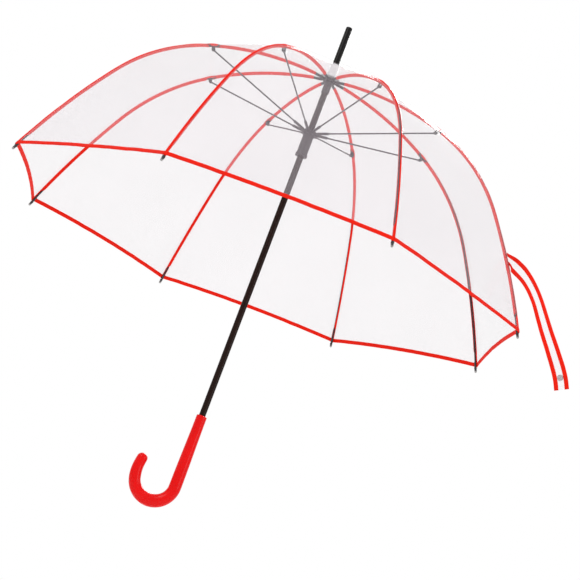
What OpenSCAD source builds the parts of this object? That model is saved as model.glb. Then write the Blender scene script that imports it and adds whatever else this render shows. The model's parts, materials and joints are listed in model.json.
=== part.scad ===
// Clear dome stick umbrella with a crook handle, open.
// +Z runs up the shaft. The origin is on the shaft's axis in the grip, above the crook.
// Rib 1 points along azimuth -157.5 degrees, and the others follow every 45 degrees.

/* [Shaft] */
// Outer diameter of the shaft tube
shaft_d = 10; // [9:0.5:11]
// Wall of the shaft tube
shaft_wall = 1; // [0.8:0.1:1.2]
// Height of the crown hinges above the middle of the grip
crown_z = 624; // [600:1:660]
// How far the shaft stands above the crown hinges
shaft_above_crown = 28; // [24:1:32]

/* [Ribs] */
// Arc length of a rib from its crown hinge to the stretcher joint
inner_len = 196; // [180:1:210]
// Arc length of the tightly bent stretch beyond the stretcher joint
bend_len = 168; // [150:1:180]
// Arc length of the nearly straight stretch down to the hem
skirt_len = 192; // [180:1:200]
// Slope of the rib below level at the crown
crown_slope = 0.5; // [0:0.5:3]
// Slope of the rib at the stretcher joint
joint_slope = 23.5; // [20:0.5:26]
// Slope of the rib where the skirt begins
skirt_slope = 56.5; // [52:0.5:60]
// Slope of the rib at the hem
hem_slope = 66; // [62:0.5:70]
// Diameter of a rib rod
rib_d = 2.5; // [2:0.1:3]
// Diameter of a stretcher rod
stretcher_d = 2.4; // [2:0.1:3]
// Distance of the stretcher pivot below the rib's centre line
pivot_drop = 6; // [5.5:0.5:7]

/* [Hinges] */
// Radius of the hinge circles in the notch and the runner
hinge_r = 8; // [8:0.5:9]
// Diameter of the ring wires that carry the hinges
wire_d = 1.2; // [1:0.1:1.4]
// Thickness of the flat eyes at the rod ends
eye_t = 2.2; // [2:0.1:2.4]
// Play of an eye in its slot, both sides together
eye_play = 0.5; // [0.4:0.1:0.8]
// Running clearance of the runner on the shaft, on the radius
slide_gap = 0.08; // [0.02:0.01:0.1]

/* [Canopy] */
// Thickness of the film
film_t = 0.3; // [0.3:0.1:0.8]
// Height of the film's inner face above the rib's centre line
film_gap = 2.8; // [2.2:0.1:3]
// Clearance from a gore's edge to the plane of the rib
seam_gap = 0.25; // [0.2:0.05:0.5]

/* [Handle] */
// Length of the straight grip
grip_len = 114; // [100:1:130]
// Height of the origin above the start of the crook
grip_origin = 59; // [50:1:65]
// Diameter of the grip at its top
grip_top_d = 16; // [15:0.5:18]
// Diameter of the grip where the crook begins
crook_d = 19; // [18:0.5:20]
// Centre line radius of the crook
crook_r = 31; // [28:1:36]
// Sweep of the crook's round bend
crook_sweep = 165; // [155:1:175]
// Centre line radius of the crook's open arm
arm_r = 62; // [50:1:80]
// Sweep of the open arm before its tapered tip
arm_sweep = 24; // [18:1:32]
// Depth of the shaft's seat in the handle
seat_depth = 35; // [25:1:45]

/* [Ferrule] */
// Diameter of the ferrule
ferrule_d = 10.4; // [10:0.1:12]
// Length of the bare ferrule
ferrule_len = 67; // [50:1:75]

/* [Strap] */
// Width of the closure strap
strap_w = 24; // [20:1:28]
// Thickness of the closure strap
strap_t = 1; // [0.8:0.1:1.5]

/* [Hidden] */
$fn = 48;
COUNT = 8;
PITCH = 360 / COUNT;
HALF = PITCH / 2;
RIBS = [for (k = [1:COUNT]) str(k)];

function rib_azimuth(k) = -180 + HALF + PITCH * (k - 1);
function gore_azimuth(k) = rib_azimuth(k) + HALF;

// Rib curve: three tangent arcs in the plane of radius and height, from the crown hinge.
function chord(len, a0, a1) = len * sin((a1 - a0) / 2) / ((a1 - a0) / 2 * PI / 180);
function arc_end(p, len, a0, a1) =
    p + chord(len, a0, a1) * [cos((a0 + a1) / 2), -sin((a0 + a1) / 2)];
function slope_on(len, a0, a1, s) = a0 + (a1 - a0) * s / len;

CROWN = [hinge_r, crown_z];
JOINT = arc_end(CROWN, inner_len, crown_slope, joint_slope);
SKIRT = arc_end(JOINT, bend_len, joint_slope, skirt_slope);
HEM = arc_end(SKIRT, skirt_len, skirt_slope, hem_slope);
PIVOT = JOINT - pivot_drop * [sin(joint_slope), cos(joint_slope)];
rib_len = inner_len + bend_len + skirt_len;

// The stretcher is as long as the crown hinge is from the pivot, so the runner stays on the shaft.
link_len = norm(PIVOT - CROWN);
runner_z = 2 * PIVOT.y - crown_z;
link_slope = atan2(PIVOT.y - runner_z, PIVOT.x - hinge_r);

function rib_slope(s) =
    s <= inner_len ? slope_on(inner_len, crown_slope, joint_slope, s)
    : s <= inner_len + bend_len ? slope_on(bend_len, joint_slope, skirt_slope, s - inner_len)
    : slope_on(skirt_len, skirt_slope, hem_slope, s - inner_len - bend_len);
function rib_point(s) =
    s <= 0.01 ? CROWN
    : s <= inner_len ? arc_end(CROWN, s, crown_slope, rib_slope(s))
    : s <= inner_len + bend_len + 0.01
        ? arc_end(JOINT, s - inner_len, joint_slope, rib_slope(s))
    : arc_end(SKIRT, s - inner_len - bend_len, skirt_slope, rib_slope(s));
function film_point(s, above) =
    rib_point(s) + above * [sin(rib_slope(s)), cos(rib_slope(s))];

rod_r = rib_d / 2;
wire_r = wire_d / 2;
eye_r = 1.6;
eye_hole_r = wire_r + 0.3;
slot_w = eye_t + eye_play;
slot_floor_r = 6.2;
fin_r = 10.5;

// Riveted joint of rib and stretcher
cheek_t = 1.1;
cheek_gap = eye_t + 0.4;
cheek_r = 2;
cheek_back = 10;
rivet_r = 0.8;
rivet_seat = 0.02;
rivet_play = 0.06;
rivet_head_r = 1.5;
rivet_head_t = 0.5;
joint_eye_r = 2;
rod_start = 3.5;
fitting_start = 4.6;
fitting_r = 2.2;
root_fitting_len = 14;
link_fitting_len = 19;

runner_top = 3;
runner_flange = 5;
runner_drop = 41;
runner_r = 8.5;
lip_r = 9.6;
lip_h = 3;
bore_r = shaft_d / 2 + slide_gap;

catch_w = 2.4;
catch_reach = 7.2;
catch_leaf_r = 3;
catch_leaf_t = 0.4;
catch_leaf_len = 36;
catch_gap = 0.3;
top_catch_h = 14;
bottom_catch_h = 4.5;
close_angle = 75.5;
runner_travel = 2 * link_len * (cos(90 - link_slope - close_angle) - cos(90 - link_slope));
top_catch_z = runner_z - runner_drop - catch_gap;
bottom_catch_z = runner_z - runner_travel - runner_drop + lip_h + catch_gap;

grip_bottom_z = -grip_origin;
grip_top_z = grip_bottom_z + grip_len;
shaft_bottom = grip_top_z - seat_depth;
shaft_top = crown_z + shaft_above_crown;

film_start = 2;
hinge_split = 0.3;
tip_back = 8;
tip_ahead = 10;
tip_r = 1.9;

// Bead that joins two stretches of rod or tube
weld = 0.05;
weld_h = 1;

// Turns a shape drawn in radius and height (x and y) upright, at an azimuth
module upright(azimuth) {
    rotate([0, 0, azimuth]) rotate([90, 0, 0]) children();
}

// A round rod along an arc of the rib curve, drawn in radius and height
module arc_rod(start, len, a0, a1, from, to, r) {
    bend_r = len / ((a1 - a0) * PI / 180);
    centre = start - bend_r * [sin(a0), cos(a0)];
    first = slope_on(len, a0, a1, from);
    last = slope_on(len, a0, a1, to);
    translate([centre.x, centre.y, 0])
        rotate([0, 0, 90 - last])
            rotate_extrude(angle = last - first, $fn = 96)
                translate([bend_r, 0])
                    circle(r = r, $fn = 24);
}

// A flat eye with a short tail, its hole at the origin and its tail along +X
module eye(r, hole_r, tail, height) {
    difference() {
        union() {
            cylinder(r = r, h = eye_t, center = true);
            translate([0, -height / 2, -eye_t / 2])
                cube([tail, height, eye_t]);
        }
        cylinder(r = hole_r, h = 2 * eye_t, center = true);
    }
}

// One side plate of the rib's joint, in radius and height
module cheek_shape() {
    back = rib_point(inner_len - cheek_back);
    across = [cos(joint_slope), -sin(joint_slope)] * cheek_r;
    down = [sin(joint_slope), cos(joint_slope)] * rod_r * 1.2;
    difference() {
        union() {
            translate(JOINT) circle(r = cheek_r);
            translate(PIVOT) circle(r = cheek_r);
            polygon([JOINT + across, JOINT - across, PIVOT - across, PIVOT + across]);
            polygon([JOINT + down, back + down, back - down, JOINT - down]);
        }
        translate(JOINT) circle(r = rivet_r + rivet_seat);
        translate(PIVOT) circle(r = rivet_r + rivet_seat);
    }
}

module rivet(at) {
    grip = cheek_gap + 2 * cheek_t + 2 * rivet_seat;
    translate([at.x, at.y, 0]) {
        cylinder(r = rivet_r, h = grip + 2 * rivet_head_t, center = true);
        for (side = [-1, 1])
            translate([0, 0, side * (grip + rivet_head_t) / 2])
                cylinder(r = rivet_head_r, h = rivet_head_t, center = true);
    }
}

// Rib from the crown to the stretcher joint, with its two side plates and rivets
module rib_inner(k) {
    block_from = rib_point(inner_len - cheek_back);
    block_h = 2 * rod_r * 1.2;
    color("#2c2a2e") upright(rib_azimuth(k)) {
        translate([CROWN.x, CROWN.y, 0])
            rotate([0, 0, -crown_slope])
                eye(eye_r, eye_hole_r, fitting_start + 0.5, 2 * rod_r - 0.3);
        translate([CROWN.x, CROWN.y, 0])
            rotate([0, 90, -crown_slope])
                translate([0, 0, fitting_start])
                    cylinder(r = fitting_r, h = root_fitting_len);
        arc_rod(CROWN, inner_len, crown_slope, joint_slope,
            fitting_start + root_fitting_len / 2, inner_len - cheek_back / 2, rod_r);
        translate([block_from.x, block_from.y, 0])
            rotate([0, 0, -joint_slope + 0.6])
                translate([0, -block_h / 2, -cheek_gap / 2 - cheek_t])
                    cube([cheek_back - 3.4, block_h, cheek_gap + 2 * cheek_t]);
        for (side = [-1, 1])
            translate([0, 0, side * (cheek_gap + cheek_t) / 2])
                linear_extrude(height = cheek_t, center = true)
                    cheek_shape();
        rivet(JOINT);
        rivet(PIVOT);
    }
}

// Rib from the stretcher joint to the hem
module rib_outer(k) {
    color("#2c2a2e") upright(rib_azimuth(k)) {
        translate([JOINT.x, JOINT.y, 0])
            rotate([0, 0, -joint_slope])
                eye(joint_eye_r, rivet_r + rivet_play, rod_start + 0.5, 2 * rod_r - 0.3);
        arc_rod(JOINT, bend_len, joint_slope, skirt_slope, rod_start, bend_len, rod_r);
        arc_rod(SKIRT, skirt_len, skirt_slope, hem_slope, 0, skirt_len - 1, rod_r);
        translate([SKIRT.x, SKIRT.y, 0])
            rotate([0, 0, -skirt_slope])
                rotate([0, 90, 0])
                    cylinder(r = rod_r + weld, h = weld_h, center = true);
    }
}

// Moulded cap on the rib's end, which the hem is tied to
module rib_tip(k) {
    base = tip_back + tip_ahead - tip_r;
    color("#39363a") upright(rib_azimuth(k))
        translate([HEM.x, HEM.y, 0])
            rotate([0, 0, -hem_slope])
                rotate([0, 90, 0])
                    translate([0, 0, -tip_back])
                        difference() {
                            union() {
                                cylinder(r = tip_r, h = base);
                                translate([0, 0, base]) sphere(r = tip_r);
                                translate([0, 0, tip_back + 2]) cylinder(r = tip_r + 0.5, h = 1.2);
                            }
                            translate([0, 0, -1]) cylinder(r = rod_r + 0.05, h = tip_back + 1);
                        }
}

// Thin strut from the runner to the rib joint
module stretcher(k) {
    color("#6f6a6e") upright(rib_azimuth(k))
        translate([hinge_r, runner_z, 0])
            rotate([0, 0, link_slope]) {
                eye(eye_r, eye_hole_r, fitting_start + 0.5, stretcher_d - 0.2);
                translate([fitting_start, 0, 0]) rotate([0, 90, 0])
                    cylinder(r = fitting_r, h = link_fitting_len);
                translate([link_fitting_len, 0, 0]) rotate([0, 90, 0])
                    cylinder(r = stretcher_d / 2, h = link_len - rod_start - link_fitting_len);
                translate([link_len, 0, 0]) rotate([0, 0, 180])
                    eye(joint_eye_r, rivet_r + rivet_play, rod_start + 0.5, stretcher_d - 0.2);
            }
}

// A strip of film: straight across from rib to rib, curved as the ribs are along them
module gore(k, from, to, steps) {
    cut = seam_gap / sin(HALF);
    reach = 520;
    at = [for (i = [0:steps]) from + (to - from) * i / steps];
    low = [for (s = at) film_point(s, film_gap)];
    high = [for (s = at) film_point(s, film_gap + film_t)];
    narrow = cos(HALF);
    band = concat(
        [for (p = low) [p.x * narrow, p.y]],
        [for (i = [steps:-1:0]) [high[i].x * narrow, high[i].y]]
    );
    color([0.93, 0.95, 0.96, 0.35]) rotate([0, 0, gore_azimuth(k)])
        intersection() {
            rotate([90, 0, 0])
                linear_extrude(height = reach, center = true)
                    polygon(band);
            linear_extrude(height = crown_z + reach)
                polygon([
                    [cut, 0],
                    [reach, (reach - cut) * tan(HALF)],
                    [reach, -(reach - cut) * tan(HALF)]
                ]);
        }
}

module gore_inner(k) { gore(k, film_start, inner_len - hinge_split, 7); }
module gore_outer(k) { gore(k, inner_len + hinge_split, rib_len, 16); }

module shaft() {
    color("#3a373b") difference() {
        translate([0, 0, shaft_bottom])
            cylinder(r = shaft_d / 2, h = shaft_top - shaft_bottom);
        translate([0, 0, shaft_bottom - 1])
            cylinder(r = shaft_d / 2 - shaft_wall, h = shaft_top - shaft_bottom + 2);
        catch_window(top_catch_z - top_catch_h, top_catch_h);
        catch_window(bottom_catch_z, bottom_catch_h);
    }
}

module catch_window(z, height) {
    translate([-catch_w / 2 - catch_gap / 2, 0, z - catch_gap])
        cube([catch_w + catch_gap, shaft_d, height + 2 * catch_gap]);
}

// Leaf spring in the tube with a tooth that stands out of its window
module catch_leaf(z, height, tooth) {
    color("#9a9894") rotate([0, 0, 90]) rotate([90, 0, 0])
        linear_extrude(height = catch_w, center = true)
            union() {
                polygon(tooth);
                translate([catch_leaf_r, z + height / 2 - catch_leaf_len / 2])
                    square([catch_leaf_t, catch_leaf_len]);
            }
}

module top_catch() {
    z = top_catch_z - top_catch_h;
    catch_leaf(z, top_catch_h, [
        [catch_leaf_r, z], [shaft_d / 2, z], [catch_reach, top_catch_z - 3],
        [catch_reach, top_catch_z], [catch_leaf_r, top_catch_z]
    ]);
}

module bottom_catch() {
    z = bottom_catch_z;
    catch_leaf(z, bottom_catch_h, [
        [catch_leaf_r, z], [catch_reach, z], [catch_reach, z + 1],
        [shaft_d / 2, z + bottom_catch_h], [catch_leaf_r, z + bottom_catch_h]
    ]);
}

module ferrule() {
    radius = ferrule_d / 2;
    round_r = 1.5;
    seat = shaft_d / 2 - shaft_wall;
    color("#141214") translate([0, 0, shaft_top]) {
        rotate_extrude()
            union() {
                square([radius, ferrule_len - round_r]);
                square([radius - round_r, ferrule_len]);
                translate([radius - round_r, ferrule_len - round_r])
                    intersection() {
                        circle(r = round_r);
                        square(round_r);
                    }
            }
        translate([0, 0, -20]) cylinder(r = seat, h = 20.5);
    }
}

// Clear moulded cap that seals the canopy's centre against the shaft
module top_cap() {
    base = crown_z + 3.4;
    rim_r = 16;
    color([0.9, 0.92, 0.93, 0.6]) difference() {
        union() {
            translate([0, 0, base]) cylinder(r = rim_r, h = 1.2);
            translate([0, 0, base + 1.2]) cylinder(r1 = 9.5, r2 = 7, h = 6);
            translate([0, 0, base + 7.2]) cylinder(r = 7, h = shaft_above_crown - 10.6);
        }
        translate([0, 0, base - 1]) cylinder(r = shaft_d / 2, h = shaft_above_crown + 2);
    }
}

// Slots that the eyes swing in, cut through a ring of fins
module eye_slots(low, high) {
    for (k = [1:COUNT])
        rotate([0, 0, rib_azimuth(k)])
            translate([slot_floor_r, -slot_w / 2, low])
                cube([fin_r, slot_w, high - low]);
}

module hinge_wire(z) {
    color("#b9b6b2") translate([0, 0, z])
        rotate_extrude($fn = 96) translate([hinge_r, 0]) circle(r = wire_r, $fn = 24);
}

module hinge_wire_groove(z) {
    translate([0, 0, z])
        rotate_extrude($fn = 96) translate([hinge_r, 0]) circle(r = wire_r, $fn = 24);
}

// Fixed ring at the crown, which carries the ribs
module notch() {
    color("#4a474b") difference() {
        union() {
            translate([0, 0, crown_z - 22]) cylinder(r = slot_floor_r, h = 23.2);
            translate([0, 0, crown_z - 3]) cylinder(r = fin_r, h = 4.2);
        }
        translate([0, 0, crown_z - 23]) cylinder(r = shaft_d / 2, h = 26);
        eye_slots(crown_z - 4, crown_z + 2);
        hinge_wire_groove(crown_z);
    }
}

module notch_wire() { hinge_wire(crown_z); }

// Sliding ring, which carries the stretchers and rests on the top catch when open
module runner() {
    top = runner_z + runner_top;
    bottom = runner_z - runner_drop;
    color("#403c40") difference() {
        union() {
            translate([0, 0, bottom]) cylinder(r = lip_r, h = lip_h + 1);
            translate([0, 0, bottom]) cylinder(r = runner_r, h = top - bottom);
            translate([0, 0, runner_z - runner_flange])
                cylinder(r = fin_r, h = runner_flange + runner_top);
        }
        translate([0, 0, bottom - 1]) cylinder(r = bore_r, h = top - bottom + 2);
        eye_slots(runner_z - eye_r - 0.2, top + 1);
        hinge_wire_groove(runner_z);
        translate([-catch_w / 2 - 0.5, 0, bottom + lip_h])
            cube([catch_w + 1, fin_r + 1, top - bottom]);
    }
}

module runner_wire() { hinge_wire(runner_z); }

// Crook handle: tapered grip, round bend, open arm and tapered tip
module handle() {
    tip_len = 8;
    tip_end_r = 8;
    bead = crook_d / 2 + weld;
    color("#d3121c") difference() {
        union() {
            translate([0, 0, grip_bottom_z])
                cylinder(r1 = crook_d / 2, r2 = grip_top_d / 2, h = grip_len);
            translate([0, 0, grip_bottom_z - weld_h / 2]) cylinder(r = bead, h = weld_h);
            translate([-crook_r, 0, grip_bottom_z])
                rotate([90, 0, 0])
                    rotate([0, 0, -crook_sweep]) {
                        rotate_extrude(angle = crook_sweep, $fn = 96)
                            translate([crook_r, 0]) circle(r = crook_d / 2);
                        translate([crook_r, 0, 0]) rotate([90, 0, 0])
                            cylinder(r = bead, h = weld_h, center = true);
                        translate([crook_r - arm_r, 0, 0]) rotate([0, 0, -arm_sweep]) {
                            rotate_extrude(angle = arm_sweep, $fn = 96)
                                translate([arm_r, 0]) circle(r = crook_d / 2);
                            translate([arm_r, 0, 0]) rotate([90, 0, 0]) {
                                cylinder(r = bead, h = weld_h, center = true);
                                cylinder(r1 = crook_d / 2, r2 = tip_end_r, h = tip_len);
                                translate([0, 0, tip_len - 0.4]) sphere(r = tip_end_r);
                            }
                        }
                    }
        }
        translate([0, 0, shaft_bottom])
            cylinder(r = shaft_d / 2, h = seat_depth + 1);
    }
}

// Closure strap: a flexible strip that hangs from the seam of rib 4.
// Each entry is radius, height and sideways offset of its centre line.
strap_rib = 4;
STRAP_ROUTE = [
    [370, 412, 1], [388, 400, 12], [404, 389, 21], [421, 374, 26],
    [438, 354, 28], [450, 336, 27], [461, 319, 26], [472, 303, 24],
    [483, 287, 22], [493, 272, 20], [502, 257, 18], [509, 241, 16]
];
// Directions across the strap at its root, where it lies along the seam, its bend and its free end
STRAP_ROOT = [0.485, -0.875, 0];
STRAP_BEND = [-0.45, -0.65, 0.6];
STRAP_END = [-1, -0.1, 0.1];
strap_bend_at = 0.35;

function mix(a, b, t) = a + (b - a) * t;
function strap_wish(u) =
    u < strap_bend_at ? mix(STRAP_ROOT, STRAP_BEND, u / strap_bend_at)
    : mix(STRAP_BEND, STRAP_END, (u - strap_bend_at) / (1 - strap_bend_at));
function strap_along(i) =
    let (n = len(STRAP_ROUTE) - 1, v = STRAP_ROUTE[min(n, i + 1)] - STRAP_ROUTE[max(0, i - 1)])
    v / norm(v);
function strap_across(i) =
    let (d = strap_along(i), w = strap_wish(i / (len(STRAP_ROUTE) - 1)))
    let (v = i == 0 ? w : w - (w * d) * d)
    v / norm(v);
function strap_face(i) =
    let (v = cross(strap_along(i), strap_across(i))) v / norm(v);
function strap_section(i) =
    let (a = strap_across(i) * strap_w / 2, f = strap_face(i) * strap_t / 2, c = STRAP_ROUTE[i])
    [c + a + f, c - a + f, c - a - f, c + a - f];

module strap() {
    n = len(STRAP_ROUTE);
    points = [for (i = [0:n - 1]) each strap_section(i)];
    sides = [for (i = [0:n - 2], j = [0:3])
        let (a = 4 * i + j, b = 4 * i + (j + 1) % 4)
        each (j < 2 ? [[a, b, b + 4], [a, b + 4, a + 4]] : [[a, b, a + 4], [b, b + 4, a + 4]])];
    last = 4 * (n - 1);
    ends = [[2, 1, 0], [3, 2, 0], [last, last + 1, last + 2], [last, last + 2, last + 3]];
    color([0.95, 0.6, 0.6, 0.8]) upright(rib_azimuth(strap_rib))
        polyhedron(points, concat(sides, ends));
}

module strap_snap() {
    i = len(STRAP_ROUTE) - 2;
    lift = strap_t / 2 + 0.05;
    face = strap_face(i);
    color("#c9c7c4") upright(rib_azimuth(strap_rib))
        translate(STRAP_ROUTE[i] + face * lift)
            rotate([0, acos(face.z), atan2(face.y, face.x)])
                cylinder(r = 4.5, h = 2);
}

shaft();
ferrule();
top_cap();
notch();
notch_wire();
handle();
runner();
runner_wire();
top_catch();
bottom_catch();
strap();
strap_snap();
for (k = [1:COUNT]) {
    rib_inner(k);
    rib_outer(k);
    rib_tip(k);
    stretcher(k);
    gore_inner(k);
    gore_outer(k);
}
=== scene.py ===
import json
import math

import bpy
from mathutils import Matrix, Vector, noise


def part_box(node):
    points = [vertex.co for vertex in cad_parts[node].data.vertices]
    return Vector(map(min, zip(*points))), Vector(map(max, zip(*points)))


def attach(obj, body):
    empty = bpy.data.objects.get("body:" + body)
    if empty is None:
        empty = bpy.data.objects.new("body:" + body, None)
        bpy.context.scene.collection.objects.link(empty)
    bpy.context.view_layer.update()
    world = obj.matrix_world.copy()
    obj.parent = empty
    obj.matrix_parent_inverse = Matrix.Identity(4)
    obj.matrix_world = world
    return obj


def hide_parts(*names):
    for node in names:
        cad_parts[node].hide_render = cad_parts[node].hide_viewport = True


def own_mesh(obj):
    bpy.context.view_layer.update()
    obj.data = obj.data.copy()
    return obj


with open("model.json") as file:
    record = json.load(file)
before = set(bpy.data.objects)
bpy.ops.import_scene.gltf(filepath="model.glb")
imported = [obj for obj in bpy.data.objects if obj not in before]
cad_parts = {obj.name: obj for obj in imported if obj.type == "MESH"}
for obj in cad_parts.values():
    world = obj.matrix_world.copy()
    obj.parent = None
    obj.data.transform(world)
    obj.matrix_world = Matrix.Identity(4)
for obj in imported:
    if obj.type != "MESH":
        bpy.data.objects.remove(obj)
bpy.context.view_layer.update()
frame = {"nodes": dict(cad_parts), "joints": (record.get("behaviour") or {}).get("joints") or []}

MM = 0.001
COUNT = 8
HALF = math.radians(22.5)
JOINTS = {j["name"]: j for j in frame["joints"]}

# Rib curve: three tangent arcs, as (length, slope at start, slope at end), in metres and degrees
RIB_ARCS = ((0.196, 0.5, 23.5), (0.168, 23.5, 56.5), (0.192, 56.5, 66.0))
INNER_LEN = RIB_ARCS[0][0]
RIB_LEN = sum(arc[0] for arc in RIB_ARCS)
HINGE_R = 0.008
CROWN_Z = JOINTS["canopy_fold"]["pos_m"][2]
FILM_LIFT = 2.95 * MM      # middle of the film above the rib's centre line
FILM_T = 0.25 * MM

# How the soft parts sit
SAG = 3.5 * MM             # how far a gore sinks between its ribs
HEM_RISE = 5 * MM          # how far the hem rises between two rib tips
WRINKLE = 0.45 * MM        # height of the film's ripples
FILM_START = 6 * MM        # arc length at which the film goes under the top cap
PIPING_START = 19 * MM     # arc length at which the tape on a rib starts
SLEEVE_A = 2.45 * MM       # half width of the tape that is folded round a rib
SLEEVE_B = 2.7 * MM        # half depth of it
SLEEVE_T = 0.55 * MM       # thickness of the tape
SEAM_PROUD = 0.45 * MM     # how far the tape over the seam stands above the film
HEM_W = 6.5 * MM
HEM_T = 1.5 * MM
HEM_PROUD = 0.8 * MM       # how far the hem reaches past the film's edge


# ---------------------------------------------------------------- rib curve

def rib_plane(s):
    """(radius, height, slope in radians) of the rib's centre line at arc length s."""
    r, z = HINGE_R, CROWN_Z
    for length, a0, a1 in RIB_ARCS:
        a0, a1 = math.radians(a0), math.radians(a1)
        step = min(s, length)
        slope = a0 + (a1 - a0) * step / length
        turn = slope - a0
        chord = step * (math.sin(turn / 2) / (turn / 2) if turn > 1e-9 else 1)
        r += chord * math.cos((a0 + slope) / 2)
        z -= chord * math.sin((a0 + slope) / 2)
        s -= step
        if s <= 1e-9:
            break
    return r, z, slope


def past_tip(s):
    """The same, but running straight on past the rib's end."""
    r, z, slope = rib_plane(min(s, RIB_LEN))
    over = max(0.0, s - RIB_LEN)
    return r + over * math.cos(slope), z - over * math.sin(slope), slope


def rib_azimuth(k):
    return math.radians(-180 + 22.5 + 45 * (k - 1))


def gore_azimuth(k):
    return rib_azimuth(k) + HALF


def axes(azimuth):
    """Outward and sideways directions at an azimuth."""
    return (
        Vector((math.cos(azimuth), math.sin(azimuth), 0)),
        Vector((-math.sin(azimuth), math.cos(azimuth), 0)),
    )


def on_rib(k, s, lift=0.0, side=0.0):
    """A point by rib k: at arc length s, lifted along the curve's outer normal, moved sideways."""
    r, z, slope = past_tip(s)
    out, across = axes(rib_azimuth(k))
    r += lift * math.sin(slope)
    z += lift * math.cos(slope)
    return out * r + across * side + Vector((0, 0, z))


def smooth(x, a, b):
    """0 up to a, 1 from b on, and an even curve between them."""
    t = min(1.0, max(0.0, (x - a) / (b - a)))
    return t * t * (3 - 2 * t)


def gore_sag(s, u):
    """How far the film sinks at arc length s, u from -1 at one rib to 1 at the next.

    It is tight at the crown, slackest half way down, and pulled straighter again at the hem.
    """
    depth = SAG * (0.15 + 0.85 * smooth(s, 0.16, 0.34)) * (1 - 0.45 * smooth(s, 0.42, RIB_LEN))
    return depth * smooth(s, 0.02, 0.12) * (1 - u * u)


def gore_ripple(k, s, u):
    """Slack in the film: long soft ripples that run down from the crown and in from the rib tips."""
    free = (1 - u * u) ** 0.5
    across = u * rib_plane(min(s, RIB_LEN))[0] * math.sin(HALF)
    broad = noise.noise(Vector((across * 26, s * 6, 7.3 * k)))
    fine = noise.noise(Vector((across * 75, s * 11, 3.1 * k + 20)))
    edge = smooth(s, 0.05, 0.2)
    return WRINKLE * free * edge * (1.6 * broad + 0.55 * fine)


def on_gore(k, s, u, lift=0.0):
    """A point of gore k's film: straight across from rib to rib, less its sag."""
    r, z, slope = past_tip(s)
    rise = FILM_LIFT + lift - (gore_sag(s, u) + gore_ripple(k, s, u))
    r += rise * math.sin(slope)
    z += rise * math.cos(slope)
    out, across = axes(gore_azimuth(k))
    return out * (r * math.cos(HALF)) + across * (u * r * math.sin(HALF)) + Vector((0, 0, z))


def hem_s(u):
    """Arc length of the hem line, which rises between the tips."""
    return RIB_LEN - HEM_RISE * (1 - u * u)


# ---------------------------------------------------------------- meshes

def make(name, verts, faces, uvs=None, material=None):
    """A smooth-shaded mesh object in the scene."""
    mesh = bpy.data.meshes.new(name)
    mesh.from_pydata([tuple(v) for v in verts], [], faces)
    if uvs is not None:
        layer = mesh.uv_layers.new(name="UVMap")
        for poly in mesh.polygons:
            for li, vi in zip(poly.loop_indices, poly.vertices):
                layer.data[li].uv = uvs[vi]
    mesh.update()
    for poly in mesh.polygons:
        poly.use_smooth = True
    obj = bpy.data.objects.new(name, mesh)
    bpy.context.scene.collection.objects.link(obj)
    if material:
        mesh.materials.append(material)
    return obj


def sheet_mesh(name, rows, material, uv):
    """A grid of points as one sheet. uv(i, j) gives each point's place on the flat cloth, in metres."""
    n, m = len(rows), len(rows[0])
    verts = [p for row in rows for p in row]
    uvs = [uv(i, j) for i in range(n) for j in range(m)]
    faces = [
        (i * m + j, i * m + j + 1, (i + 1) * m + j + 1, (i + 1) * m + j)
        for i in range(n - 1) for j in range(m - 1)
    ]
    return make(name, verts, faces, uvs, material)


def sweep(name, rings, material, lengths=None):
    """A solid through rings of points, closed by a flat face at each end."""
    n, m = len(rings), len(rings[0])
    verts = [p for ring in rings for p in ring]
    if lengths is None:
        lengths = [0.0]
        for a, b in zip(rings, rings[1:]):
            lengths.append(lengths[-1] + (sum(b, Vector()) - sum(a, Vector())).length / m)
    uvs = [(j / m, lengths[i]) for i in range(n) for j in range(m)]
    faces = [
        (i * m + j, i * m + (j + 1) % m, (i + 1) * m + (j + 1) % m, (i + 1) * m + j)
        for i in range(n - 1) for j in range(m)
    ]
    faces += [tuple(range(m - 1, -1, -1)), tuple(range((n - 1) * m, n * m))]
    return make(name, verts, faces, uvs, material)


def rounded_tape(width, height, corner=0.45, steps=3):
    """Cross-section of a folded tape: a flat bar with rounded edges, as (across, up) points."""
    hw, hh = width / 2, height / 2
    c = min(hw, hh) * 2 * corner
    points = []
    corners = (
        (hw - c, hh - c, 0), (c - hw, hh - c, 90), (c - hw, c - hh, 180), (hw - c, c - hh, 270),
    )
    for cx, cy, start in corners:
        for i in range(steps + 1):
            a = math.radians(start + 90 * i / steps)
            points.append((cx + c * math.cos(a), cy + c * math.sin(a)))
    return points


def add_solidify(obj, thickness):
    mod = obj.modifiers.new("thickness", "SOLIDIFY")
    mod.thickness = thickness
    mod.offset = 0


def spread(a, b, n):
    """n even steps from a to b, both ends included."""
    return [a + (b - a) * i / (n - 1) for i in range(n)]


# ---------------------------------------------------------------- materials

SKIN = 0.00003             # depth of the fine skin on moulded and drawn parts, in metres
SKIN_SCALE = 900
COAT_ROUGHNESS = 0.12
WEAVE_PITCH = 0.0009       # along the tape, in metres
WARPS = 26                 # threads round the tape
STITCH_PITCH = 0.0032      # in metres


def new_material(name):
    mat = bpy.data.materials.new(name)
    mat.use_nodes = True
    tree = mat.node_tree
    return mat, tree, tree.nodes["Principled BSDF"]


def node(tree, kind, **values):
    """A new shader node, with its settings or its inputs' values by name."""
    n = tree.nodes.new(kind)
    for key, value in values.items():
        if hasattr(n, key):
            setattr(n, key, value)
        else:
            n.inputs[key.replace("_", " ")].default_value = value
    return n


def ramp(tree, source, stops):
    """Colour ramp on a value; stops are (place, colour)."""
    r = tree.nodes.new("ShaderNodeValToRGB")
    tree.links.new(source, r.inputs["Fac"])
    while len(r.color_ramp.elements) < len(stops):
        r.color_ramp.elements.new(0.5)
    for element, (at, colour) in zip(r.color_ramp.elements, stops):
        element.position = at
        element.color = (*colour, 1) if len(colour) == 3 else colour
    return r.outputs["Color"]


def grey(v):
    return (v, v, v)


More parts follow.
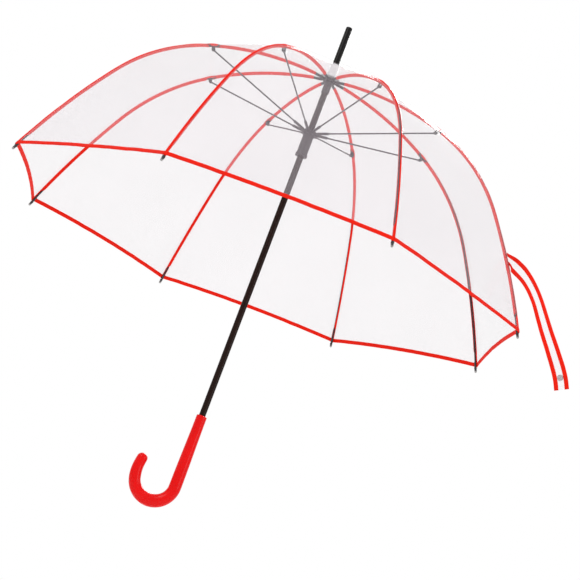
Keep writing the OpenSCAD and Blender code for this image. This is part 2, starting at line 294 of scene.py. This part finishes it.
def noise_tex(tree, scale, detail=3.0, stretch=(1, 1, 1), coord="Object"):
    co = tree.nodes.new("ShaderNodeTexCoord")
    mapping = tree.nodes.new("ShaderNodeMapping")
    mapping.inputs["Scale"].default_value = stretch
    tex = node(tree, "ShaderNodeTexNoise", Scale=scale, Detail=detail)
    tree.links.new(co.outputs[coord], mapping.inputs["Vector"])
    tree.links.new(mapping.outputs["Vector"], tex.inputs["Vector"])
    return tex.outputs["Fac"]


def bump(tree, bsdf, height, strength, distance):
    b = node(tree, "ShaderNodeBump", Strength=strength, Distance=distance)
    tree.links.new(height, b.inputs["Height"])
    tree.links.new(b.outputs["Normal"], bsdf.inputs["Normal"])


def plastic(name, colour, roughness, coat=0.0, mottle=0.06, grain=SKIN, scale=60, shine=0.5):
    """Moulded plastic: faint flow marks in the colour, uneven polish and a fine skin."""
    mat, tree, bsdf = new_material(name)
    bsdf.inputs["Specular IOR Level"].default_value = shine
    bsdf.inputs["Coat Weight"].default_value = coat
    bsdf.inputs["Coat Roughness"].default_value = COAT_ROUGHNESS
    flow = noise_tex(tree, scale, 3, (1, 1, 0.35))
    low = [c * (1 - mottle) for c in colour]
    high = [min(1, c * (1 + mottle)) for c in colour]
    tree.links.new(ramp(tree, flow, [(0.3, low), (0.7, high)]), bsdf.inputs["Base Color"])
    polish = noise_tex(tree, scale * 4, 4)
    tree.links.new(
        ramp(tree, polish, [(0.3, grey(roughness * 0.8)), (0.75, grey(roughness * 1.25))]),
        bsdf.inputs["Roughness"],
    )
    skin = noise_tex(tree, SKIN_SCALE, 2)
    bump(tree, bsdf, skin, 0.25, grain)
    return mat


def metal(name, colour, roughness, metallic=1.0, shine=0.5):
    """Drawn or painted metal: streaks along Z and small scuffs."""
    mat, tree, bsdf = new_material(name)
    bsdf.inputs["Metallic"].default_value = metallic
    bsdf.inputs["Specular IOR Level"].default_value = shine
    streak = noise_tex(tree, 700, 2, (1, 1, 0.02))
    low, high = [c * 0.82 for c in colour], [min(1, c * 1.15) for c in colour]
    tree.links.new(ramp(tree, streak, [(0.35, low), (0.65, high)]), bsdf.inputs["Base Color"])
    scuff = noise_tex(tree, 120, 5)
    tree.links.new(
        ramp(tree, scuff, [(0.35, grey(roughness * 0.75)), (0.7, grey(roughness * 1.3))]),
        bsdf.inputs["Roughness"],
    )
    bump(tree, bsdf, streak, 0.2, SKIN)
    return mat


def film_material():
    """Clear soft film: a slight milky haze, a wet gloss and small handling marks."""
    mat, tree, bsdf = new_material("film")
    bsdf.inputs["Alpha"].default_value = 0.118
    bsdf.inputs["IOR"].default_value = 1.52
    bsdf.inputs["Specular IOR Level"].default_value = 0.9
    haze = noise_tex(tree, 9, 4)
    tree.links.new(
        ramp(tree, haze, [(0.3, (0.69, 0.61, 0.66)), (0.7, (0.79, 0.71, 0.76))]),
        bsdf.inputs["Base Color"],
    )
    marks = noise_tex(tree, 45, 5)
    polish = ramp(tree, marks, [(0.35, grey(0.07)), (0.75, grey(0.22))])
    tree.links.new(polish, bsdf.inputs["Roughness"])
    bump(tree, bsdf, noise_tex(tree, 30, 3), 0.3, 0.0004)
    return mat


def tape_material(name, colour):
    """Woven binding tape: fine cross ribs with painted shade in the weave's hollows, dents from lock
    stitches and an uneven dye.
    """
    mat, tree, bsdf = new_material(name)
    bsdf.inputs["Specular IOR Level"].default_value = 0.12
    uv = tree.nodes.new("ShaderNodeUVMap")
    uv.uv_map = "UVMap"
    split = tree.nodes.new("ShaderNodeSeparateXYZ")
    tree.links.new(uv.outputs["UV"], split.inputs["Vector"])

    def math_node(op, a, b=None, c=None):
        n = node(tree, "ShaderNodeMath", operation=op)
        for i, v in enumerate((a, b, c)):
            if v is None:
                continue
            if isinstance(v, (int, float)):
                n.inputs[i].default_value = v
            else:
                tree.links.new(v, n.inputs[i])
        return n.outputs["Value"]

    along, around = split.outputs["Y"], split.outputs["X"]
    weave = math_node("SINE", math_node("MULTIPLY", along, 2 * math.pi / WEAVE_PITCH))
    warp = math_node("SINE", math_node("MULTIPLY", around, 2 * math.pi * WARPS))
    cloth = math_node("MULTIPLY", weave, warp)
    pitch = math_node("FRACT", math_node("DIVIDE", along, STITCH_PITCH))
    stitch = math_node("COMPARE", pitch, 0.5, 0.32)
    dents = math_node("MULTIPLY", stitch, -2.0)
    height = math_node("ADD", cloth, dents)
    # Painted shade: the colour is darker where the weave's threads dip and lighter on their tops
    painted_weave_shade = math_node("MULTIPLY_ADD", cloth, 0.06, 0.5)
    patchy = noise_tex(tree, 60, 3)
    mixed = math_node("MULTIPLY_ADD", patchy, 0.5, math_node("SUBTRACT", painted_weave_shade, 0.25))
    low = [c * 0.8 for c in colour]
    tree.links.new(ramp(tree, mixed, [(0.3, low), (0.7, colour)]), bsdf.inputs["Base Color"])
    polish = ramp(tree, patchy, [(0.3, grey(0.5)), (0.7, grey(0.66))])
    tree.links.new(polish, bsdf.inputs["Roughness"])
    bump(tree, bsdf, height, 0.35, 0.00012)
    return mat


def stage_material():
    mat, tree, bsdf = new_material("pale_floor")
    tone = noise_tex(tree, 3, 2)
    pale = ramp(tree, tone, [(0.3, grey(0.82)), (0.7, grey(0.85))])
    tree.links.new(pale, bsdf.inputs["Base Color"])
    bsdf.inputs["Roughness"].default_value = 0.7
    return mat


RED = (0.95, 0.012, 0.0)
FILM = film_material()
TAPE = tape_material("red_tape", RED)
HANDLE = plastic(
    "handle_red", (0.8, 0.002, 0.002), 0.26, coat=0.08, mottle=0.04, grain=0.00001, shine=0.14,
)
BLACK = plastic("ferrule_black", (0.004, 0.003, 0.003), 0.3, shine=0.2)
MOULDED = plastic("moulded_dark", (0.03, 0.024, 0.028), 0.42)
SHAFT = metal("shaft_lacquer", (0.016, 0.006, 0.004), 0.25, metallic=0.0, shine=0.13)
RIB = metal("rib_lacquer", (0.03, 0.022, 0.024), 0.35, metallic=0.2)
STRETCHER = metal("stretcher_lacquer", (0.06, 0.052, 0.056), 0.38, metallic=0.3)
STEEL = metal("spring_steel", (0.62, 0.61, 0.6), 0.3)


def tip_material():
    """Dark moulded cap with a pale ball at its end."""
    mat, tree, bsdf = new_material("rib_tip")
    co = tree.nodes.new("ShaderNodeTexCoord")
    split = tree.nodes.new("ShaderNodeSeparateXYZ")
    tree.links.new(co.outputs["Object"], split.inputs["Vector"])
    end = node(tree, "ShaderNodeMapRange")
    tree.links.new(split.outputs["Z"], end.inputs["Value"])
    hem_z = rib_plane(RIB_LEN)[1]
    end.inputs["From Min"].default_value = hem_z - 9.5 * MM
    end.inputs["From Max"].default_value = hem_z - 4 * MM
    tone = ramp(
        tree, end.outputs["Result"],
        [(0.35, (0.42, 0.41, 0.40)), (0.65, (0.035, 0.03, 0.032))],
    )
    mottle = ramp(tree, noise_tex(tree, 160, 3), [(0.3, grey(0.82)), (0.7, grey(1.0))])
    mixed = node(tree, "ShaderNodeMix", data_type="RGBA", blend_type="MULTIPLY")
    mixed.inputs["Factor"].default_value = 1
    tree.links.new(tone, mixed.inputs["A"])
    tree.links.new(mottle, mixed.inputs["B"])
    tree.links.new(mixed.outputs["Result"], bsdf.inputs["Base Color"])
    polish = ramp(tree, noise_tex(tree, 240, 4), [(0.3, grey(0.3)), (0.7, grey(0.5))])
    tree.links.new(polish, bsdf.inputs["Roughness"])
    bump(tree, bsdf, noise_tex(tree, SKIN_SCALE, 2), 0.2, SKIN)
    return mat


TIP = tip_material()


def cap_material():
    """Clouded clear plastic."""
    mat, tree, bsdf = new_material("clear_cap")
    bsdf.inputs["Alpha"].default_value = 0.8
    bsdf.inputs["Coat Weight"].default_value = 0.5
    cloud = noise_tex(tree, 80, 4)
    tree.links.new(
        ramp(tree, cloud, [(0.3, (0.93, 0.93, 0.94)), (0.7, (0.99, 0.99, 1.0))]),
        bsdf.inputs["Base Color"],
    )
    polish = ramp(tree, cloud, [(0.3, grey(0.1)), (0.7, grey(0.25))])
    tree.links.new(polish, bsdf.inputs["Roughness"])
    return mat


CAP = cap_material()

NODE_MATERIALS = {
    "shaft": SHAFT, "ferrule": BLACK, "top_cap": CAP, "notch": MOULDED, "notch_wire": STEEL,
    "runner": MOULDED, "runner_wire": STEEL, "top_catch": STEEL, "bottom_catch": STEEL,
    "strap_snap": STEEL, "rib_inner": RIB, "rib_outer": RIB, "rib_tip": TIP,
    "stretcher": STRETCHER,
}


def paint_nodes():
    """Give every CAD node that stays visible its material, by name or by name without its number."""
    for name, obj in frame["nodes"].items():
        base = name.rstrip("0123456789").rstrip("_")
        mat = NODE_MATERIALS.get(name) or NODE_MATERIALS.get(base)
        if mat:
            for slot in obj.material_slots:
                slot.material = mat


# ---------------------------------------------------------------- canopy

def gore_film(k, part):
    """One half of gore k's film: inner, from the crown to the ribs' joints, or outer, to the hem."""
    inner = part == "inner"
    rows, cols = (30, 25) if inner else (56, 33)
    us = spread(-1, 1, cols)

    def arc(i, u):
        t = i / (rows - 1)
        if inner:
            return FILM_START + (INNER_LEN - FILM_START) * t
        return INNER_LEN + (hem_s(u) - INNER_LEN) * t

    grid = [[on_gore(k, arc(i, u), u) for u in us] for i in range(rows)]

    def uv(i, j):
        s = arc(i, us[j])
        return us[j] * rib_plane(min(s, RIB_LEN))[0] * math.sin(HALF), s

    obj = sheet_mesh(f"film_{part}_{k}", grid, FILM, uv)
    add_solidify(obj, FILM_T)
    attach(obj, f"gore_{part}_{k}")
    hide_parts(f"gore_{part}_{k}")
    fold_flat(obj)
    return obj


def fold_flat(obj):
    """Give the piece its own copy of its mesh."""
    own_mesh(obj)


def flat_area(s0, s1):
    """Flat area of a gore between two arc lengths."""
    steps = 60
    width = [2 * rib_plane(s)[0] * math.sin(HALF) for s in spread(s0, s1, steps)]
    return sum((a + b) / 2 for a, b in zip(width, width[1:])) * (s1 - s0) / (steps - 1)


# Where the folded tape stays open and shows the rod, for each rib: direction and half width
# in degrees at the crown end and at the hem end. 0 is sideways, 90 out, 270 in.
SLEEVE_GAPS = {
    1: (85, 34, 95, 22), 2: (150, 42, 165, 14), 3: (20, 40, 150, 34), 4: (100, 42, 110, 48),
    5: (120, 30, 215, 62), 6: (325, 16, 330, 76), 7: (120, 36, 110, 24), 8: (100, 36, 120, 26),
}
TIP_BARE = 30 * MM         # length at the hem where the rod comes out of the tape on the inside
JOINT_SWELL = 8 * MM       # reach of the tape's bulge over the joint, to either side
GAP_MIN = 10               # least half width of the gap, in degrees
GAP_TIP = 95               # half width where the rod is bare, in degrees
GAP_JOINT = 64             # half width at the joint, in degrees


def sleeve_ring(k, s):
    """Cross-section of the folded tape at arc length s, as (sideways, lift) points."""
    t = s / RIB_LEN
    c0, w0, c1, w1 = SLEEVE_GAPS[k]
    centre = c0 + (c1 - c0) * smooth(t, 0.25, 0.8)
    centre += 16 * noise.noise(Vector((s * 22, k * 3.7, 0.5)))
    half = w0 + (w1 - w0) * smooth(t, 0.3, 0.85)
    half = max(GAP_MIN, half + 14 * noise.noise(Vector((s * 30, k * 2.9, 4.5))))
    bare = smooth(s, RIB_LEN - TIP_BARE, RIB_LEN - TIP_BARE + 10 * MM)
    swell = 1 - smooth(abs(s - INNER_LEN), 0.4 * JOINT_SWELL, 1.5 * JOINT_SWELL)
    open_in = max(bare, swell)
    centre += ((270 - centre + 180) % 360 - 180) * open_in
    half += ((GAP_TIP if bare > swell else GAP_JOINT) - half) * open_in
    a = SLEEVE_A * (1 + 0.05 * noise.noise(Vector((s * 60, k, 9)))) + 1.15 * MM * swell
    b = SLEEVE_B * (1 + 0.06 * noise.noise(Vector((s * 50, k, 3)))) + 0.5 * MM * swell
    middle = FILM_LIFT + SEAM_PROUD - SLEEVE_B
    start, end = centre + half, centre + 360 - half
    points = []
    steps = 17
    for thick, angles in ((0, spread(start, end, steps)), (SLEEVE_T, spread(end, start, steps))):
        for angle in angles:
            angle = math.radians(angle)
            points.append(((a - thick) * math.cos(angle), middle + (b - thick) * math.sin(angle)))
    return points


def piping(k, part):
    """Red tape that binds the seam on rib k and folds round the rod."""
    inner = part == "inner"
    s0, s1 = (PIPING_START, INNER_LEN) if inner else (INNER_LEN, RIB_LEN + 1 * MM)
    arcs = spread(s0, s1, int((s1 - s0) / (2.2 * MM)))
    rings = [[on_rib(k, s, lift, side) for side, lift in sleeve_ring(k, s)] for s in arcs]
    obj = sweep(f"piping_{part}_{k}", rings, TAPE, lengths=arcs)
    obj.data.set_sharp_from_angle(angle=math.radians(50))
    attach(obj, f"rib_{part}_{k}")
    return obj


def hem_binding(k):
    """Red tape folded over the film's lower edge between two ribs."""
    rings, lengths = [], []
    section = rounded_tape(HEM_W, HEM_T)
    travelled = 0.0
    for u in spread(-1, 1, 150):
        s = hem_s(u)
        wave = 0.35 * MM * noise.noise(Vector((u * 9, k * 5.0, 1.0)))
        here = []
        for along, up in section:
            here.append(on_gore(k, s - HEM_W / 2 + along + HEM_PROUD + wave, u, lift=up))
        if rings:
            travelled += (sum(here, Vector()) - sum(rings[-1], Vector())).length / len(section)
        rings.append(here)
        lengths.append(travelled)
    obj = sweep(f"hem_{k}", rings, TAPE, lengths=lengths)
    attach(obj, f"gore_outer_{k}")
    fold_flat(obj)
    return obj


def canopy():
    ribs = range(1, COUNT + 1)
    hems = [hem_binding(k) for k in ribs]
    pipings = {(k, part): piping(k, part) for k in ribs for part in ("inner", "outer")}
    for k in ribs:
        for part, s0, s1 in (("inner", FILM_START, INNER_LEN), ("outer", INNER_LEN, RIB_LEN)):
            film = gore_film(k, part)
            width = 2 * rib_plane(s1)[0] * math.sin(HALF)
            flat_area(s0, s1)


# ---------------------------------------------------------------- strap

# The route of the closure strap from part.scad: radius, height and sideways offset in rib 4's plane
STRAP_RIB = 4
STRAP_W = 21 * MM
STRAP_T = 0.4 * MM
STRAP_EDGE_W = 6.2 * MM
STRAP_EDGE_T = 1.3 * MM
STRAP_TUCK = 1 * MM        # how far the film's edge lies inside the edge tape
STRAP_ROUTE = (
    (0.370, 0.412, -0.001), (0.388, 0.400, -0.012), (0.404, 0.389, -0.021), (0.421, 0.374, -0.026),
    (0.438, 0.354, -0.028), (0.450, 0.336, -0.027), (0.461, 0.319, -0.026), (0.472, 0.303, -0.024),
    (0.483, 0.287, -0.022), (0.493, 0.272, -0.020), (0.502, 0.257, -0.018), (0.509, 0.241, -0.016),
)
# Directions across the strap at its root, at its bend and at its end
STRAP_ROOT = Vector((0.485, -0.875, 0))
STRAP_BEND = Vector((-0.45, -0.65, -0.6))
STRAP_END = Vector((-1, -0.1, -0.1))
STRAP_BEND_AT = 0.35       # share of the strap's length


def spline(points, t):
    """Point at share t of a smooth curve through points, and its direction."""
    last = len(points) - 1
    x = min(last - 1e-6, max(0.0, t * last))
    i = int(x)
    f = x - i
    p = [Vector(points[min(last, max(0, i + d))]) for d in (-1, 0, 1, 2)]
    if i == 0:
        p[0] = 2 * p[1] - p[2]
    if i + 1 == last:
        p[3] = 2 * p[2] - p[1]
    at = 0.5 * (
        2 * p[1] + (p[2] - p[0]) * f + (2 * p[0] - 5 * p[1] + 4 * p[2] - p[3]) * f * f
        + (3 * p[1] - p[0] - 3 * p[2] + p[3]) * f ** 3
    )
    way = 0.5 * (
        (p[2] - p[0]) + 2 * (2 * p[0] - 5 * p[1] + 4 * p[2] - p[3]) * f
        + 3 * (3 * p[1] - p[0] - 3 * p[2] + p[3]) * f * f
    )
    return at, way.normalized()


def strap_frame(t):
    """(point, direction across, face normal) of the strap at share t of its length."""
    at, way = spline(STRAP_ROUTE, t)
    if t < STRAP_BEND_AT:
        wish = STRAP_ROOT.lerp(STRAP_BEND, t / STRAP_BEND_AT)
    else:
        wish = STRAP_BEND.lerp(STRAP_END, (t - STRAP_BEND_AT) / (1 - STRAP_BEND_AT))
    across = (wish - wish.dot(way) * way * smooth(t, 0, 1 / (len(STRAP_ROUTE) - 1))).normalized()
    face = way.cross(across).normalized()
    out, side = axes(rib_azimuth(STRAP_RIB))

    def placed(v):
        return out * v.x + side * v.z + Vector((0, 0, v.y))

    return placed(at), placed(across), placed(face)


def strap():
    """Closure strap: a strip of film with a red tape folded over each long edge."""
    steps = 90
    half = STRAP_W / 2
    shares = spread(0, 1, steps)
    frames = [strap_frame(t) for t in shares]
    cols = spread(-half + STRAP_TUCK, half - STRAP_TUCK, 9)
    grid = [[p + a * c for c in cols] for p, a, f in frames]
    film = sheet_mesh("strap_film", grid, FILM, lambda i, j: (cols[j], shares[i] * 0.23))
    add_solidify(film, STRAP_T)
    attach(film, "strap")
    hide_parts("strap")
    section = rounded_tape(STRAP_EDGE_W, STRAP_EDGE_T)
    for label, sign in (("a", -1), ("b", 1)):
        rings = []
        for t, (p, a, f) in zip(shares, frames):
            wave = 0.25 * MM * noise.noise(Vector((t * 14, sign, 0)))
            centre = p + a * (sign * (half - STRAP_EDGE_W / 2) + wave)
            rings.append([centre + a * x + f * y for x, y in section])
        tape = sweep(f"strap_edge_{label}", rings, TAPE)
        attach(tape, "strap")


# ---------------------------------------------------------------- handle

# Radius of the handle at shares of its length, in mm: it swells towards the bend and thins to its tip
HANDLE_RADII = ((0.0, 8.0), (0.47, 9.4), (0.66, 10.1), (0.84, 8.9), (0.95, 8.3), (1.0, 8.0))


def handle():
    """Crook handle: a moulded rod with a straight grip, a round bend, an open arm and a domed tip."""
    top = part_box("handle")[1].z
    grip = 114 * MM
    bend_r, bend = 31 * MM, math.radians(165)
    arm_r, arm = 62 * MM, math.radians(24)
    tip = 14 * MM
    bend_z = top - grip
    bend_end, arm_end = grip + bend_r * bend, grip + bend_r * bend + arm_r * arm
    total = arm_end + tip

    def outward(angle):
        return Vector((math.cos(angle), 0, -math.sin(angle)))

    def centre(s):
        """Point on the handle's centre line, and the direction out of the bend there."""
        if s <= grip:
            return Vector((0, 0, top - s)), outward(0)
        middle = Vector((-bend_r, 0, bend_z))
        if s <= bend_end:
            out = outward((s - grip) / bend_r)
            return middle + bend_r * out, out
        middle += (bend_r - arm_r) * outward(bend)
        out = outward(bend + (min(s, arm_end) - bend_end) / arm_r)
        way = out.cross(Vector((0, 1, 0)))
        return middle + arm_r * out - way * max(0.0, s - arm_end), out

    def radius(s):
        share = s / total
        for (a, ra), (b, rb) in zip(HANDLE_RADII, HANDLE_RADII[1:]):
            if share <= b:
                break
        return (ra + (rb - ra) * smooth(share, a, b)) * MM

    sides = 40
    depth = Vector((0, 1, 0))
    rings = []

    def ring(s, scale):
        """Add a ring at length s, at scale times the handle's radius there."""
        c, out = centre(s)
        r = radius(s) * scale
        rings.append([
            c + out * (r * math.cos(t)) + depth * (r * math.sin(t))
            for t in (2 * math.pi * j / sides for j in range(sides))
        ])

    # The mouth of the shaft's seat, then the rounded rim, then the body and its domed end
    seat_r, seat_depth = 5.05 * MM, 6 * MM
    ring(seat_depth, seat_r / radius(seat_depth))
    ring(0.5 * MM, seat_r / radius(0.5 * MM))
    ring(0.0, seat_r * 1.04 / radius(0))
    ring(0.0, 0.86)
    ring(0.25 * MM, 0.95)
    ring(0.9 * MM, 0.995)
    dome = 7.5 * MM
    for s in spread(2.0 * MM, total - dome, 120):
        ring(s, 1.0)
    for i in range(1, 11):
        a = math.pi / 2 * i / 10
        ring(total - dome + dome * math.sin(a), max(0.03, math.cos(a)))
    obj = sweep("crook_handle", rings, HANDLE)
    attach(obj, "frame")
    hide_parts("handle")


# ---------------------------------------------------------------- stage

DOME = Vector((0, 0, 0.4))
FLOOR_Z = -0.45
FLOOR_HALF = 6


def area_light(name, place, size, power):
    """Soft light turned to the middle of the dome."""
    light = bpy.data.lights.new(name, "AREA")
    light.shape = "RECTANGLE"
    light.size, light.size_y = size
    light.energy = power
    obj = bpy.data.objects.new(name, light)
    obj.location = place
    obj.rotation_mode = "QUATERNION"
    obj.rotation_quaternion = (DOME - Vector(place)).to_track_quat("-Z", "Y")
    obj.visible_camera = False
    bpy.context.scene.collection.objects.link(obj)


def camera():
    """Camera below the hem on the -Y side, looking up into the dome and rolled."""
    data = bpy.data.cameras.new("camera")
    data.sensor_width = 36
    data.lens = 103
    cam = bpy.data.objects.new("camera", data)
    forward = Vector((0.0033, 0.9762, 0.2168)).normalized()
    up = Vector((-0.3515, -0.2018, 0.9142))
    right = forward.cross(up).normalized()
    up = right.cross(forward)
    turn = Matrix((right, up, -forward)).transposed()
    cam.rotation_mode = "QUATERNION"
    cam.rotation_quaternion = turn.to_quaternion()
    cam.location = (0.0491, -2.4879, -0.2678)
    bpy.context.scene.collection.objects.link(cam)
    bpy.context.scene.camera = cam


def stage():
    """White sweep behind the object, a soft room light, a pale floor and three area lights."""
    scene = bpy.context.scene
    scene.view_settings.view_transform = "Standard"
    world = bpy.data.worlds.new("studio")
    world.use_nodes = True
    tree = world.node_tree
    room = tree.nodes["Background"]
    co = tree.nodes.new("ShaderNodeTexCoord")
    split = tree.nodes.new("ShaderNodeSeparateXYZ")
    height = tree.nodes.new("ShaderNodeMapRange")
    height.inputs["From Min"].default_value = -1
    tree.links.new(co.outputs["Generated"], split.inputs["Vector"])
    tree.links.new(split.outputs["Z"], height.inputs["Value"])
    light = ramp(tree, height.outputs["Result"], [(0.3, grey(0.42)), (0.75, grey(0.8))])
    tree.links.new(light, room.inputs["Color"])
    sweep_white = node(tree, "ShaderNodeBackground", Color=(1, 1, 1, 1), Strength=1.0)
    seen = tree.nodes.new("ShaderNodeLightPath")
    mix = tree.nodes.new("ShaderNodeMixShader")
    tree.links.new(seen.outputs["Is Camera Ray"], mix.inputs["Fac"])
    tree.links.new(room.outputs["Background"], mix.inputs[1])
    tree.links.new(sweep_white.outputs["Background"], mix.inputs[2])
    tree.links.new(mix.outputs["Shader"], tree.nodes["World Output"].inputs["Surface"])
    scene.world = world
    corners = [
        (x * FLOOR_HALF, y * FLOOR_HALF, FLOOR_Z) for x, y in ((-1, -1), (1, -1), (1, 1), (-1, 1))
    ]
    floor = make("floor", corners, [(0, 1, 2, 3)], material=stage_material())
    area_light("key", (-1.6, -1.8, 2.2), (1.2, 1.2), 25)
    area_light("fill", (1.9, -1.2, 0.8), (0.8, 1.6), 10)
    area_light("back", (0.4, 2.2, 1.6), (1.4, 0.6), 38)


camera()
stage()
paint_nodes()
canopy()
strap()
handle()
